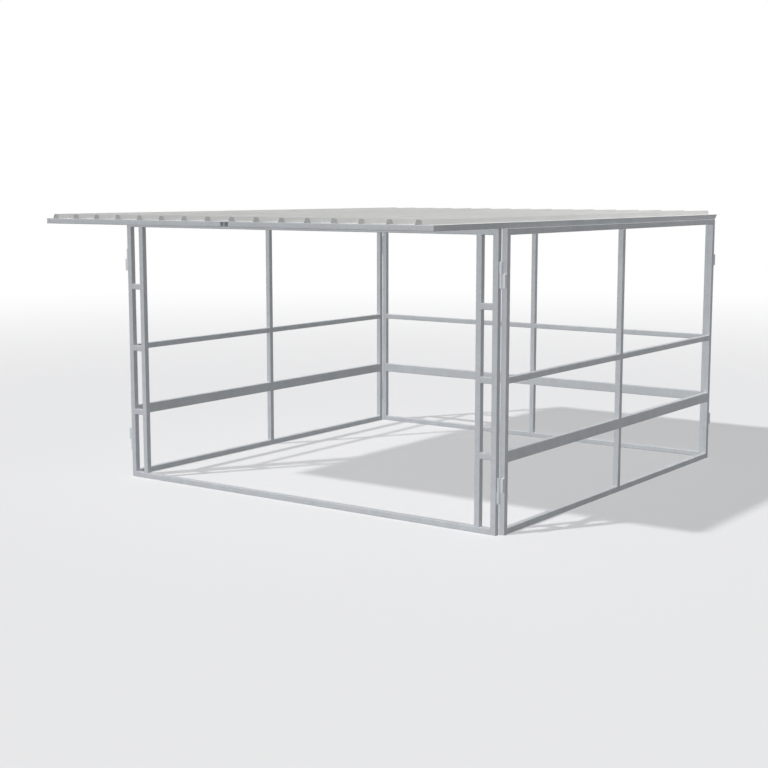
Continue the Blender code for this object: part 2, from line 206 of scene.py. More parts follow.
def zinc_group():
    group = new_group(
        "zinc",
        [
            ("Dull", COLOUR, (0.36, 0.38, 0.40, 1.0)),
            ("Bright", COLOUR, (0.46, 0.48, 0.50, 1.0)),
            ("Crystals per metre", FLOAT, 70.0),
            ("Crystal share", FLOAT, 0.45),
            ("Smoothest", FLOAT, 0.42),
            ("Roughest", FLOAT, 0.62),
        ],
        [("Colour", COLOUR), ("Roughness", FLOAT), ("Height", FLOAT)],
    )
    nodes, links = group.nodes, group.links
    start = nodes.new("NodeGroupInput")
    place = add_node(group, "ShaderNodeTexCoord")
    bend = add_node(group, "ShaderNodeTexNoise", {"Scale": 45.0, "Detail": 2.0})
    centred = add_node(group, "ShaderNodeVectorMath", operation="SUBTRACT")
    centred.inputs[1].default_value = (0.5, 0.5, 0.5)
    small = add_node(group, "ShaderNodeVectorMath", operation="SCALE")
    small.inputs["Scale"].default_value = CRYSTAL_BEND
    bent = add_node(group, "ShaderNodeVectorMath", operation="ADD")
    crystals = add_node(group, "ShaderNodeTexVoronoi")
    crystal = add_node(group, "ShaderNodeSeparateColor")
    clouds = add_node(group, "ShaderNodeTexNoise", {"Scale": 3.5, "Detail": 5.0, "Roughness": 0.6})
    grain = add_node(group, "ShaderNodeTexNoise", {"Scale": 260.0, "Detail": 3.0})
    cloudy = add_node(group, "ShaderNodeMapRange", {"From Min": 0.3, "From Max": 0.7})
    tone = add_node(group, "ShaderNodeMix", data_type="FLOAT")
    grained = add_node(group, "ShaderNodeMix", {0: GRAIN_SHARE}, data_type="FLOAT")
    paint = add_node(group, "ShaderNodeMix", data_type="RGBA")
    rough = add_node(group, "ShaderNodeMapRange")
    height = add_node(group, "ShaderNodeMix", {0: CRYSTAL_RELIEF}, data_type="FLOAT")
    end = nodes.new("NodeGroupOutput")
    links.new(place.outputs["Object"], bend.inputs["Vector"])
    links.new(bend.outputs["Color"], centred.inputs[0])
    links.new(centred.outputs[0], small.inputs[0])
    links.new(place.outputs["Object"], bent.inputs[0])
    links.new(small.outputs[0], bent.inputs[1])
    links.new(bent.outputs[0], crystals.inputs["Vector"])
    links.new(start.outputs["Crystals per metre"], crystals.inputs["Scale"])
    links.new(crystals.outputs["Color"], crystal.inputs[0])
    links.new(place.outputs["Object"], clouds.inputs["Vector"])
    links.new(place.outputs["Object"], grain.inputs["Vector"])
    links.new(clouds.outputs[0], cloudy.inputs["Value"])
    links.new(start.outputs["Crystal share"], tone.inputs[0])
    links.new(cloudy.outputs[0], tone.inputs[FLOAT_A])
    links.new(crystal.outputs[0], tone.inputs[FLOAT_B])
    links.new(tone.outputs[0], grained.inputs[FLOAT_A])
    links.new(grain.outputs[0], grained.inputs[FLOAT_B])
    links.new(grained.outputs[0], paint.inputs[0])
    links.new(start.outputs["Dull"], paint.inputs[COLOUR_A])
    links.new(start.outputs["Bright"], paint.inputs[COLOUR_B])
    links.new(paint.outputs[COLOUR_OUT], end.inputs["Colour"])
    links.new(grained.outputs[0], rough.inputs["Value"])
    links.new(start.outputs["Roughest"], rough.inputs["To Min"])
    links.new(start.outputs["Smoothest"], rough.inputs["To Max"])
    links.new(rough.outputs[0], end.inputs["Roughness"])
    links.new(grain.outputs[0], height.inputs[FLOAT_A])
    links.new(crystal.outputs[1], height.inputs[FLOAT_B])
    links.new(height.outputs[0], end.inputs["Height"])
    return group


zinc = zinc_group()
print("group", zinc.name, "with", len(zinc.nodes), "nodes")

# %% [markdown]
# ## Pale bloom with painted light, and painted edge highlights
#
# The zinc is painted paler towards the ground. This is partly a real pale bloom and partly painted light from
# below, so the low parts come out lighter than the parts under the roof. Faces that look up stay damp at any
# height, so they bloom paler as well. The rolled corners get a painted highlight: a brighter grey along every
# edge. The bloom group reads the height above the ground and the upward part of the surface direction, and
# breaks both up with noise. The edge group compares the surface direction with a rounded one, which differs
# only near an edge.

# %% Bloom with painted light, and edge highlight groups
EDGE_WIDTH = 0.002


def bloom_and_painted_light_group():
    group = new_group(
        "bloom_and_painted_light",
        [("Top", FLOAT, 2.2), ("Amount", FLOAT, 1.0), ("On top", FLOAT, 0.85)],
        [("Mask", FLOAT)],
    )
    nodes, links = group.nodes, group.links
    start = nodes.new("NodeGroupInput")
    place = add_node(group, "ShaderNodeTexCoord")
    split = add_node(group, "ShaderNodeSeparateXYZ")
    patches = add_node(group, "ShaderNodeTexNoise", {"Scale": 9.0, "Detail": 6.0, "Roughness": 0.65})
    # Painted light: the mask is one at the ground and falls to nothing at the Top height, so low parts come
    # out paler.
    depth = add_node(group, "ShaderNodeMapRange", {"From Min": 0.0, "To Min": 1.0, "To Max": 0.0})
    patchy = add_node(group, "ShaderNodeMath", operation="MULTIPLY")
    faded = add_node(group, "ShaderNodeMath", operation="MULTIPLY", use_clamp=True)
    surface = add_node(group, "ShaderNodeNewGeometry")
    upward = add_node(group, "ShaderNodeSeparateXYZ")
    flat_top = add_node(group, "ShaderNodeMapRange", {"From Min": 0.6, "From Max": 0.95})
    spotty = add_node(group, "ShaderNodeMapRange", {"From Min": 0.2, "From Max": 0.6, "To Min": 0.6})
    settled = add_node(group, "ShaderNodeMath", operation="MULTIPLY")
    on_top = add_node(group, "ShaderNodeMath", operation="MULTIPLY")
    either = add_node(group, "ShaderNodeMath", operation="MAXIMUM")
    end = nodes.new("NodeGroupOutput")
    links.new(place.outputs["Object"], split.inputs[0])
    links.new(place.outputs["Object"], patches.inputs["Vector"])
    links.new(split.outputs["Z"], depth.inputs["Value"])
    links.new(start.outputs["Top"], depth.inputs["From Max"])
    links.new(depth.outputs[0], patchy.inputs[0])
    links.new(patches.outputs[0], patchy.inputs[1])
    links.new(patchy.outputs[0], faded.inputs[0])
    links.new(start.outputs["Amount"], faded.inputs[1])
    links.new(surface.outputs["True Normal"], upward.inputs[0])
    links.new(upward.outputs["Z"], flat_top.inputs["Value"])
    links.new(patches.outputs[0], spotty.inputs["Value"])
    links.new(flat_top.outputs[0], settled.inputs[0])
    links.new(spotty.outputs[0], settled.inputs[1])
    links.new(settled.outputs[0], on_top.inputs[0])
    links.new(start.outputs["On top"], on_top.inputs[1])
    links.new(faded.outputs[0], either.inputs[0])
    links.new(on_top.outputs[0], either.inputs[1])
    links.new(either.outputs[0], end.inputs["Mask"])
    return group


def edge_highlight_group():
    group = new_group("edge_highlight", [("Width", FLOAT, EDGE_WIDTH)], [("Mask", FLOAT)])
    nodes, links = group.nodes, group.links
    start = nodes.new("NodeGroupInput")
    # Painted highlight: this mask finds the rolled corners, which then get a brighter grey.
    rounded = add_node(group, "ShaderNodeBevel", samples=4)
    surface = add_node(group, "ShaderNodeNewGeometry")
    match = add_node(group, "ShaderNodeVectorMath", operation="DOT_PRODUCT")
    highlighted = add_node(group, "ShaderNodeMapRange", {"From Min": 0.995, "From Max": 0.9})
    end = nodes.new("NodeGroupOutput")
    links.new(start.outputs["Width"], rounded.inputs["Radius"])
    links.new(rounded.outputs[0], match.inputs[0])
    links.new(surface.outputs["Normal"], match.inputs[1])
    links.new(match.outputs["Value"], highlighted.inputs["Value"])
    links.new(highlighted.outputs[0], end.inputs["Mask"])
    return group


bloom_and_painted_light = bloom_and_painted_light_group()
edge_highlight = edge_highlight_group()
print("groups", bloom_and_painted_light.name, edge_highlight.name)

# %% [markdown]
# ## One recipe for every zinc finish
#
# Panels, roof tubes, hinges, pins and welds are all zinc, but not the same zinc: the heavy tubes are dull
# and mottled, the small hinge parts are brighter, and a weld bead is finer. One function places the
# zinc group in a material of its own with its own greys. It adds the painted edge highlights and the bloom
# with its painted light near the ground, and leaves plain numbers such as Metallic on the shader itself. A
# share of metal gives a soft sheen, and the rest behaves like the white oxide that makes old zinc matt.

# %% Zinc materials
RED_PART = 0.955
BLUE_PART = 1.045
# Painted edge highlight: how much brighter its grey is, and how much of it is laid on.
HIGHLIGHT_GAIN = 1.25
HIGHLIGHT_SHARE = 0.6
ZINC_RELIEF = 0.0006
PANEL_GREYS = (0.37, 0.47)
ROOF_GREYS = (0.38, 0.48)
BRIGHT_GREYS = (0.52, 0.62)
WELD_GREYS = (0.38, 0.50)


def mix_in(tree, base, colour, mask, share):
    """Lays a second colour over the first where the mask says, times a share."""
    amount = add_node(tree, "ShaderNodeMath", {1: share}, operation="MULTIPLY", use_clamp=True)
    mixed = add_node(tree, "ShaderNodeMix", {COLOUR_B: colour}, data_type="RGBA")
    tree.links.new(mask, amount.inputs[0])
    tree.links.new(amount.outputs[0], mixed.inputs[0])
    tree.links.new(base, mixed.inputs[COLOUR_A])
    return mixed.outputs[COLOUR_OUT]


def grey(value):
    """A bluish zinc grey of that lightness."""
    return (value * RED_PART, value, value * BLUE_PART, 1.0)


# The pale grey of the bloom. Near the ground it is also painted light.
PALE_ZINC_AND_LIGHT = grey(0.62)


def zinc_finish(name, greys, crystals=70.0, share=0.45, metal=0.12, bump=0.2, bloom_and_light=0.9):
    """A zinc material. greys gives its dull and its bright grey."""
    finish, tree, shader = new_finish(name)
    dull, bright = greys
    skin = use_group(tree, zinc, {
        "Dull": grey(dull),
        "Bright": grey(bright),
        "Crystals per metre": crystals,
        "Crystal share": share,
    })
    # Painted highlight: a brighter grey along the rolled corners.
    edges = use_group(tree, edge_highlight, {})
    highlight_grey = grey(bright * HIGHLIGHT_GAIN)
    colour = mix_in(tree, skin.outputs["Colour"], highlight_grey, edges.outputs["Mask"], HIGHLIGHT_SHARE)
    # Paler towards the ground: partly real bloom, partly painted light from below.
    if bloom_and_light:
        pale_and_lit = use_group(tree, bloom_and_painted_light, {"Amount": bloom_and_light})
        colour = mix_in(tree, colour, PALE_ZINC_AND_LIGHT, pale_and_lit.outputs["Mask"], 1.0)
    roughness = skin.outputs["Roughness"]
    wire_surface(tree, shader, colour, roughness, skin.outputs["Height"], bump, ZINC_RELIEF)
    shader.inputs["Metallic"].default_value = metal
    return finish


panel_zinc = zinc_finish("panel_zinc", PANEL_GREYS)
roof_zinc = zinc_finish("roof_tube_zinc", ROOF_GREYS, bloom_and_light=0.0)
bright_zinc = zinc_finish("hinge_pin_zinc", BRIGHT_GREYS, crystals=220.0, share=0.2, metal=0.5, bloom_and_light=0.0)
weld_zinc = zinc_finish("weld_zinc", WELD_GREYS, crystals=260.0, share=0.2, bump=0.35)
print("zinc finishes", panel_zinc.name, roof_zinc.name, bright_zinc.name, weld_zinc.name)

# %% [markdown]
# ## Brighter hinge barrels
#
# The barrels and lugs are small parts of their own, welded to the end posts before dipping, and they come
# out smoother and brighter than the tube. In the CAD they are one solid with their post. They stand in the
# notch that the panels leave at each corner, where no tube is, so a mask on the place alone finds them:
# outside the width of the stall and outside its depth at once.

# %% End post material
rail_low, rail_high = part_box("right_rail_top")
TUBE = rail_high.x - rail_low.x
STALL_HALF_WIDTH = rail_low.x
STALL_MIDDLE = (rail_low.y + rail_high.y) / 2
STALL_HALF_DEPTH = (rail_high.y - rail_low.y) / 2 + TUBE
SKIN = 0.0004
BARREL_GREY = grey(0.60)
BARREL_SHARE = 0.9


def notch_group():
    group = new_group(
        "hinge_notch",
        [
            ("Half width", FLOAT, STALL_HALF_WIDTH + SKIN),
            ("Middle", FLOAT, STALL_MIDDLE),
            ("Half depth", FLOAT, STALL_HALF_DEPTH + SKIN),
        ],
        [("Mask", FLOAT)],
    )
    nodes, links = group.nodes, group.links
    start = nodes.new("NodeGroupInput")
    place = add_node(group, "ShaderNodeTexCoord")
    split = add_node(group, "ShaderNodeSeparateXYZ")
    sideways = add_node(group, "ShaderNodeMath", operation="ABSOLUTE")
    from_middle = add_node(group, "ShaderNodeMath", operation="SUBTRACT")
    endways = add_node(group, "ShaderNodeMath", operation="ABSOLUTE")
    past_side = add_node(group, "ShaderNodeMath", operation="GREATER_THAN")
    past_end = add_node(group, "ShaderNodeMath", operation="GREATER_THAN")
    both = add_node(group, "ShaderNodeMath", operation="MULTIPLY")
    end = nodes.new("NodeGroupOutput")
    links.new(place.outputs["Object"], split.inputs[0])
    links.new(split.outputs["X"], sideways.inputs[0])
    links.new(split.outputs["Y"], from_middle.inputs[0])
    links.new(start.outputs["Middle"], from_middle.inputs[1])
    links.new(from_middle.outputs[0], endways.inputs[0])
    links.new(sideways.outputs[0], past_side.inputs[0])
    links.new(start.outputs["Half width"], past_side.inputs[1])
    links.new(endways.outputs[0], past_end.inputs[0])
    links.new(start.outputs["Half depth"], past_end.inputs[1])
    links.new(past_side.outputs[0], both.inputs[0])
    links.new(past_end.outputs[0], both.inputs[1])
    links.new(both.outputs[0], end.inputs["Mask"])
    return group


hinge_notch = notch_group()
post_zinc = zinc_finish("end_post_zinc", PANEL_GREYS)
post_tree = post_zinc.node_tree
post_shader = post_tree.nodes["Principled BSDF"]
tube_colour = post_shader.inputs["Base Color"].links[0].from_socket
barrels = use_group(post_tree, hinge_notch, {})
with_barrels = mix_in(post_tree, tube_colour, BARREL_GREY, barrels.outputs["Mask"], BARREL_SHARE)
post_tree.links.new(with_barrels, post_shader.inputs["Base Color"])
print("stall", round(STALL_HALF_WIDTH, 4), "by", round(STALL_HALF_DEPTH, 4), "from", round(STALL_MIDDLE, 4))

# %% [markdown]
# ## Roof sheets
#
# The sheets are pressed from thin coated steel. The coating is paler and more even than dipped tube, with a
# very fine leathery grain, and rain leaves faint streaks that run with the ribs. Noise that is stretched
# along the ribs makes the streaks, and fine grain goes into the bump.

# %% Sheet material
STREAK_GREY = (0.58, 0.58, 0.56, 1.0)
STREAK_SHARE = 0.5
SHEET_BUMP = 0.12
SHEET_RELIEF = 0.0004


def streak_group():
    group = new_group(
        "rain_streaks",
        [("Across", FLOAT, 26.0), ("Along", FLOAT, 0.7)],
        [("Mask", FLOAT), ("Grain", FLOAT)],
    )
    nodes, links = group.nodes, group.links
    start = nodes.new("NodeGroupInput")
    place = add_node(group, "ShaderNodeTexCoord")
    stretch = add_node(group, "ShaderNodeCombineXYZ", {"Z": 4.0})
    stretched = add_node(group, "ShaderNodeVectorMath", operation="MULTIPLY")
    streaks = add_node(group, "ShaderNodeTexNoise", {"Scale": 1.0, "Detail": 5.0, "Roughness": 0.6})
    clearer = add_node(group, "ShaderNodeMapRange", {"From Min": 0.35, "From Max": 0.75})
    leather = add_node(group, "ShaderNodeTexVoronoi", {"Scale": 900.0})
    end = nodes.new("NodeGroupOutput")
    links.new(start.outputs["Across"], stretch.inputs["X"])
    links.new(start.outputs["Along"], stretch.inputs["Y"])
    links.new(place.outputs["Object"], stretched.inputs[0])
    links.new(stretch.outputs[0], stretched.inputs[1])
    links.new(stretched.outputs[0], streaks.inputs["Vector"])
    links.new(streaks.outputs[0], clearer.inputs["Value"])
    links.new(clearer.outputs[0], end.inputs["Mask"])
    links.new(place.outputs["Object"], leather.inputs["Vector"])
    links.new(leather.outputs["Distance"], end.inputs["Grain"])
    return group


rain_streaks = streak_group()


def sheet_finish():
    finish, tree, shader = new_finish("sheet_coating")
    skin = use_group(tree, zinc, {
        "Dull": (0.74, 0.745, 0.735, 1.0),
        "Bright": (0.82, 0.825, 0.81, 1.0),
        "Crystals per metre": 300.0,
        "Crystal share": 0.15,
        "Smoothest": 0.38,
        "Roughest": 0.55,
    })
    rain = use_group(tree, rain_streaks, {})
    colour = mix_in(tree, skin.outputs["Colour"], STREAK_GREY, rain.outputs["Mask"], STREAK_SHARE)
    roughness = skin.outputs["Roughness"]
    wire_surface(tree, shader, colour, roughness, rain.outputs["Grain"], SHEET_BUMP, SHEET_RELIEF)
    shader.inputs["Metallic"].default_value = 0.15
    shader.inputs["Coat Weight"].default_value = 0.35
    shader.inputs["Coat Roughness"].default_value = 0.3
    return finish


sheet_coat = sheet_finish()
print("sheet finish", sheet_coat.name)

# %% [markdown]
# ## Give each tube its finish
#
# A CAD node keeps its shape and only its material changes. The name of a node says what it is, so a short
# rule is enough: pins, roof sheets, roof tubes, the end posts with hinge barrels, and all other panel tubes.

# %% Assign finishes
HINGED_POSTS = [
    panel + "_post_" + end for panel in ("front", "back", "left", "right") for end in ("left", "right")
]


def finish_for(name):
    if name.startswith("pin_"):
        return bright_zinc
    if name.startswith("roof_sheet"):
        return sheet_coat
    if name.startswith("roof_"):
        return roof_zinc
    if name in HINGED_POSTS:
        return post_zinc
    return panel_zinc


for name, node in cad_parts.items():
    for slot in node.material_slots:
        slot.material = finish_for(name)
print("posts with barrels", sum(name in HINGED_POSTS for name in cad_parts))

# %% [markdown]
# ## Weld beads
#
# Each tube end is welded all round to the tube that it meets. A bead is a row of small frozen ripples. It
# fills the inner corner between two tubes, and on the flush faces it stands only a little proud of the
# groove. Where another part lies on the joint, such as the ground or the roof, it is ground flat.
#
# A ring of eight points is carried round the tube's outline, straight along each side and turning at each
# corner, with every second ring a little smaller. The spin operator does both: with an angle it turns the
# ring, and with a move it pushes it along. How deep each side of the path lies under the surface decides
# whether the bead fills a corner, stands proud or is ground away.

# %% Bead shape
import bmesh
from mathutils import Matrix, Vector

BEAD_RADIUS = 0.0036
BEAD_SIDES = 8
BEAD_RIPPLE = 0.0026
BEAD_NARROWING = 0.86
BEAD_TURN_STEPS = 4
BEAD_PATH_CORNER = 0.004
BEAD_LEAN = 0.0008
IN_CORNER = 0.0
PROUD = 0.0024
GROUND = BEAD_RADIUS + SKIN
QUARTER_TURN = math.radians(90)
SAMPLE_SIDE = 0.02


def start_ring(shape, radius, place, capped):
    """The first ring of a bead, as its points and then its edges."""
    circle = bmesh.ops.create_circle(
        shape, cap_ends=capped, segments=BEAD_SIDES, radius=radius, matrix=place
    )
    edges = dict.fromkeys(edge for point in circle["verts"] for edge in point.link_edges)
    return circle["verts"] + list(edges)


def carry_ring(shape, ring, centre, turn, move):
    """Extrudes the last ring one step further, and returns the new one."""
    made = bmesh.ops.spin(
        shape,
        geom=ring,
        cent=centre,
        axis=(0.0, 0.0, 1.0),
        angle=turn,
        dvec=move,
        steps=1,
        use_duplicate=False,
    )
    return [part for part in made["geom_last"] if not isinstance(part, bmesh.types.BMFace)]


def scale_ring(shape, ring, amount):
    """Makes a ring smaller or larger about its own middle."""
    points = [part for part in ring if isinstance(part, bmesh.types.BMVert)]
    centre = sum((point.co for point in points), Vector()) / len(points)
    bmesh.ops.scale(shape, vec=(amount,) * 3, space=Matrix.Translation(-centre), verts=points)


def bead_loop(right, top, left, bottom):
    """A closed bead in the plane z = 0. The numbers say how far each side of its path is from the middle."""
    corner = BEAD_PATH_CORNER
    turn_step = QUARTER_TURN / BEAD_TURN_STEPS
    shape = bmesh.new()
    start = Matrix.Translation((corner - left, -bottom, 0.0)) @ Matrix.Rotation(QUARTER_TURN, 4, "Y")
    ring = start_ring(shape, BEAD_RADIUS, start, False)
    sides = [
        (right + left, Vector((1.0, 0.0, 0.0)), (right - corner, corner - bottom, 0.0)),
        (top + bottom, Vector((0.0, 1.0, 0.0)), (right - corner, top - corner, 0.0)),
        (right + left, Vector((-1.0, 0.0, 0.0)), (corner - left, top - corner, 0.0)),
        (top + bottom, Vector((0.0, -1.0, 0.0)), (corner - left, corner - bottom, 0.0)),
    ]
    narrow = False
    for length, along, centre in sides:
        steps = 2 * max(1, round((length - 2 * corner) / BEAD_RIPPLE / 2))
        move = along * (length - 2 * corner) / steps
        for turn, shift in [(0.0, move)] * steps + [(turn_step, Vector())] * BEAD_TURN_STEPS:
            ring = carry_ring(shape, ring, centre, turn, shift)
            narrow = not narrow
            scale_ring(shape, ring, BEAD_NARROWING if narrow else 1 / BEAD_NARROWING)
    bmesh.ops.remove_doubles(shape, verts=shape.verts, dist=JOIN_DISTANCE)
    bmesh.ops.recalc_face_normals(shape, faces=shape.faces)
    return shape


sample = bead_loop(SAMPLE_SIDE, SAMPLE_SIDE, SAMPLE_SIDE, SAMPLE_SIDE)
open_edges = sum(not edge.is_manifold for edge in sample.edges)
print("one bead has", len(sample.faces), "faces and", open_edges, "open edges")
sample.free()

# %% [markdown]
# ## Beads round every joint
#
# A tube meets another at each of its ends. For one end, a call of add_bead names the tube, the direction in
# which it runs into its neighbour, and how the bead lies on each of its four sides. The bead is made in a
# flat plane and then stood up: its own x and y become the two cross directions of the tube, and its z
# becomes the direction of the tube. All beads of a panel are one piece, because they are one finish and
# one body.

# %% Place the beads
AXES = {"x": Vector((1.0, 0.0, 0.0)), "y": Vector((0.0, 1.0, 0.0)), "z": Vector((0.0, 0.0, 1.0))}
CROSS = {"x": ("y", "z"), "y": ("z", "x"), "z": ("x", "y")}
bead_meshes = {}


def to_mesh(name, shape):
    """Turns a bmesh into a mesh, and frees it."""
    mesh = bpy.data.meshes.new(name)
    shape.to_mesh(mesh)
    shape.free()
    return mesh


def add_turned(target, mesh, matrix):
    """Adds a copy of a mesh to a shape, turned and moved."""
    copy = mesh.copy()
    copy.transform(matrix)
    target.from_mesh(copy)
    bpy.data.meshes.remove(copy)


def bead_mesh(sizes):
    """The mesh of one size of bead, made once and copied after that."""
    key = tuple(round(size, 5) for size in sizes)
    if key not in bead_meshes:
        bead_meshes[key] = to_mesh("bead", bead_loop(*sizes))
    return bead_meshes[key]


def add_bead(shape, node, axis, sign, lay):
    """Adds the bead at one end of a tube. lay says how deep it lies on each side, as {"+x": depth}."""
    low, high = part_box(node)
    middle = (low + high) / 2
    first, second = CROSS[axis]
    half = {name: (high - low).dot(AXES[name]) / 2 for name in (first, second)}
    sizes = (
        half[first] - lay["+" + first],
        half[second] - lay["+" + second],
        half[first] - lay["-" + first],
        half[second] - lay["-" + second],
    )
    end = high if sign > 0 else low
    joint = end.dot(AXES[axis]) + sign * BEAD_LEAN
    place = middle + AXES[axis] * (joint - middle.dot(AXES[axis]))
    stand = Matrix((AXES[first], AXES[second], AXES[axis])).transposed().to_4x4()
    add_turned(shape, bead_mesh(sizes), Matrix.Translation(place) @ stand)


def add_beads(shape, node, axis, lay):
    """Adds the beads at both ends of a tube."""
    for sign in (-1, 1):
        add_bead(shape, node, axis, sign, lay)


def finished_piece(name, shape, finish, body, smooth=True):
    """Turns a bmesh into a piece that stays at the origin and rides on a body."""
    mesh = to_mesh(name, shape)
    mesh.materials.append(finish)
    for face in mesh.polygons:
        face.use_smooth = smooth
    piece = bpy.data.objects.new(name, mesh)
    scene.collection.objects.link(piece)
    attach(piece, body)
    print(name, len(mesh.polygons), "faces")


def flush_lay(thickness, other, low=IN_CORNER, high=IN_CORNER):
    """Flush and a little proud across the panel, and as asked on the other two sides."""
    return {"+" + thickness: PROUD, "-" + thickness: PROUD, "-" + other: low, "+" + other: high}


def rail_beads(shape, panel, run, thickness):
    """The beads of one closed panel: four rails on two end posts, and the centre post between the rails."""
    rails = {
        "bottom": flush_lay(thickness, "z", low=GROUND),
        "wide": flush_lay(thickness, "z"),
        "mid": flush_lay(thickness, "z"),
        "top": flush_lay(thickness, "z", high=GROUND),
    }
    for level, lay in rails.items():
        add_beads(shape, panel + "_rail_" + level, run, lay)
    for level in ("low", "mid", "high"):
        add_beads(shape, panel + "_centre_post_" + level, "z", flush_lay(thickness, run))


for panel, run, thickness in (("right", "y", "x"), ("left", "y", "x"), ("back", "x", "y")):
    beads = bmesh.new()
    rail_beads(beads, panel, run, thickness)
    finished_piece(panel + "_panel_welds", beads, weld_zinc, "shelter")

beads = bmesh.new()
for side in ("left", "right"):
    for level in ("low", "mid", "high"):
        add_beads(beads, "front_rung_" + side + "_" + level, "x", flush_lay("y", "z"))
    add_beads(beads, "front_inner_post_" + side, "z", flush_lay("y", "x"))
add_beads(beads, "front_threshold_rail", "x", flush_lay("y", "z", low=GROUND))
add_beads(beads, "front_top_rail", "x", flush_lay("y", "z", high=GROUND))
finished_piece("front_panel_welds", beads, weld_zinc, "shelter")

# %% [markdown]
# ## Roof frame beads
#
# The roof tubes are joined in the same way. Their upper sides carry the sheets and their lower sides lie on
# the panels, so the beads there are ground flat, and only the inner corners and the outer flush faces show.

# %% Roof beads
beads = bmesh.new()
for side, out in (("left", -1), ("right", 1)):
    outer, inner = ("+x", "-x") if out > 0 else ("-x", "+x")
    side_lay = {"+z": GROUND, "-z": GROUND, outer: PROUD, inner: IN_CORNER}
    add_bead(beads, "roof_side_beam_" + side, "y", -1, side_lay)
    front_lay = {"+z": GROUND, "-z": GROUND, "-y": GROUND, "+y": IN_CORNER}
    add_bead(beads, "roof_front_beam_" + side, "x", -out, front_lay)
    cross_lay = {"+z": GROUND, "-z": GROUND, "-y": IN_CORNER, "+y": IN_CORNER}
    for beam in ("roof_purlin_", "roof_back_beam_"):
        add_beads(beads, beam + side, "x", cross_lay)
finished_piece("roof_frame_welds", beads, weld_zinc, "shelter")

# %% [markdown]
# ## Hinge welds
#
# Barrels and lugs are welded on along short straight seams. A seam is the same rippled ring pushed straight
# up, with small rings at both ends so that it starts and stops softly. One mesh is made for each length and
# then copied, turned and moved to its places.

# %% Seam shape
HINGE_BEAD = 0.0028
ROD_END = 0.5


def rippled_rod(length, radius, ripple):
    """The mesh of a straight rippled rod that stands on the origin, with small ends."""
    shape = bmesh.new()
    steps = 2 * round(length / ripple / 2)
    move = Vector((0.0, 0.0, length / steps))
    ring = start_ring(shape, radius * ROD_END, Matrix.Identity(4), True)
    for step in range(steps):
        ring = carry_ring(shape, ring, (0.0, 0.0, 0.0), 0.0, move)
        if step == 0:
            scale_ring(shape, ring, 1 / ROD_END)
        elif step == steps - 1:
            scale_ring(shape, ring, ROD_END)
        else:
            scale_ring(shape, ring, BEAD_NARROWING if step % 2 else 1 / BEAD_NARROWING)
    rim = [part for part in ring if isinstance(part, bmesh.types.BMEdge)]
    bmesh.ops.holes_fill(shape, edges=rim, sides=0)
    bmesh.ops.recalc_face_normals(shape, faces=shape.faces)
    return to_mesh("rippled_rod", shape)


print("a seam has", BEAD_SIDES, "sides and a radius of", HINGE_BEAD)

# %% [markdown]
# A narrow barrel touches its post, and a seam runs up on each side of the touching line. A wide barrel
# sits on a lug block, flush with the outside of its post: the lug has a seam on all four sides, and the
# barrel has one on each side of the lug. The heights come from the pins. A pin hangs from its head on the
# upper barrel of its hinge, and the narrow barrel is the upper one in the upper hinges only.

# %% Hinge seams
NARROW_BARREL = 0.082
WIDE_BARREL = 0.096
BARREL_GAP = 0.001
BARREL_RADIUS = 0.0115
AXIS_OUT = 0.012
LUG_OVERLAP = 0.003
PIN_HEAD_AND_GAP = 0.0053
SEAM_OFFSET = 0.0085
SEAM_OUT = 0.0012
SEAM_SHORT = 0.005
GROOVE_DEPTH = 0.0016
LUG_WIDTH = TUBE - AXIS_OUT - BARREL_RADIUS + LUG_OVERLAP

narrow_seam = rippled_rod(NARROW_BARREL - 2 * SEAM_SHORT, HINGE_BEAD, BEAD_RIPPLE)
lug_seam = rippled_rod(WIDE_BARREL - 2 * SEAM_SHORT, HINGE_BEAD, BEAD_RIPPLE)
lug_end_seam = rippled_rod(LUG_WIDTH, HINGE_BEAD, BEAD_RIPPLE)


def narrow_barrel_welds(shape, axis, out, bottom):
    """out is the side of the stall, -1 or 1."""
    post_face = out * STALL_HALF_WIDTH
    for across in (-SEAM_OFFSET, SEAM_OFFSET):
        place = Vector((post_face + out * SEAM_OUT, axis.y + across, bottom + SEAM_SHORT))
        add_turned(shape, narrow_seam, Matrix.Translation(place))


def lug_welds(shape, axis, out, ahead, bottom):
    """out is the side of the stall and ahead its end, each -1 or 1."""
    outside = out * (STALL_HALF_WIDTH + TUBE - GROOVE_DEPTH)
    inside = out * (STALL_HALF_WIDTH + TUBE - LUG_WIDTH)
    post_end = STALL_MIDDLE + ahead * (STALL_HALF_DEPTH + SEAM_OUT / 2)
    touch = math.sqrt(BARREL_RADIUS ** 2 - (BARREL_RADIUS - LUG_OVERLAP) ** 2)
    uprights = [
        (outside, post_end),
        (inside - out * SEAM_OUT / 2, post_end),
        (axis.x + out * BARREL_RADIUS, axis.y),
        (inside, axis.y - ahead * touch),
    ]
    for x, y in uprights:
        add_turned(shape, lug_seam, Matrix.Translation((x, y, bottom + SEAM_SHORT)))
    lying = Matrix.Rotation(QUARTER_TURN, 4, "Y")
    for z in (bottom, bottom + WIDE_BARREL):
        add_turned(shape, lug_end_seam, Matrix.Translation((min(outside, inside), post_end, z)) @ lying)


seams = bmesh.new()
for end, ahead in (("front", -1), ("back", 1)):
    for side, out in (("left", -1), ("right", 1)):
        for level in ("upper", "lower"):
            low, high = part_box("pin_" + end + "_" + side + "_" + level)
            axis = (low + high) / 2
            top = high.z - PIN_HEAD_AND_GAP
            if level == "upper":
                narrow_bottom = top - NARROW_BARREL
                wide_bottom = narrow_bottom - BARREL_GAP - WIDE_BARREL
            else:
                wide_bottom = top - WIDE_BARREL
                narrow_bottom = wide_bottom - BARREL_GAP - NARROW_BARREL
            narrow_barrel_welds(seams, axis, out, narrow_bottom)
            lug_welds(seams, axis, out, ahead, wide_bottom)
finished_piece("hinge_welds", seams, post_zinc, "shelter")

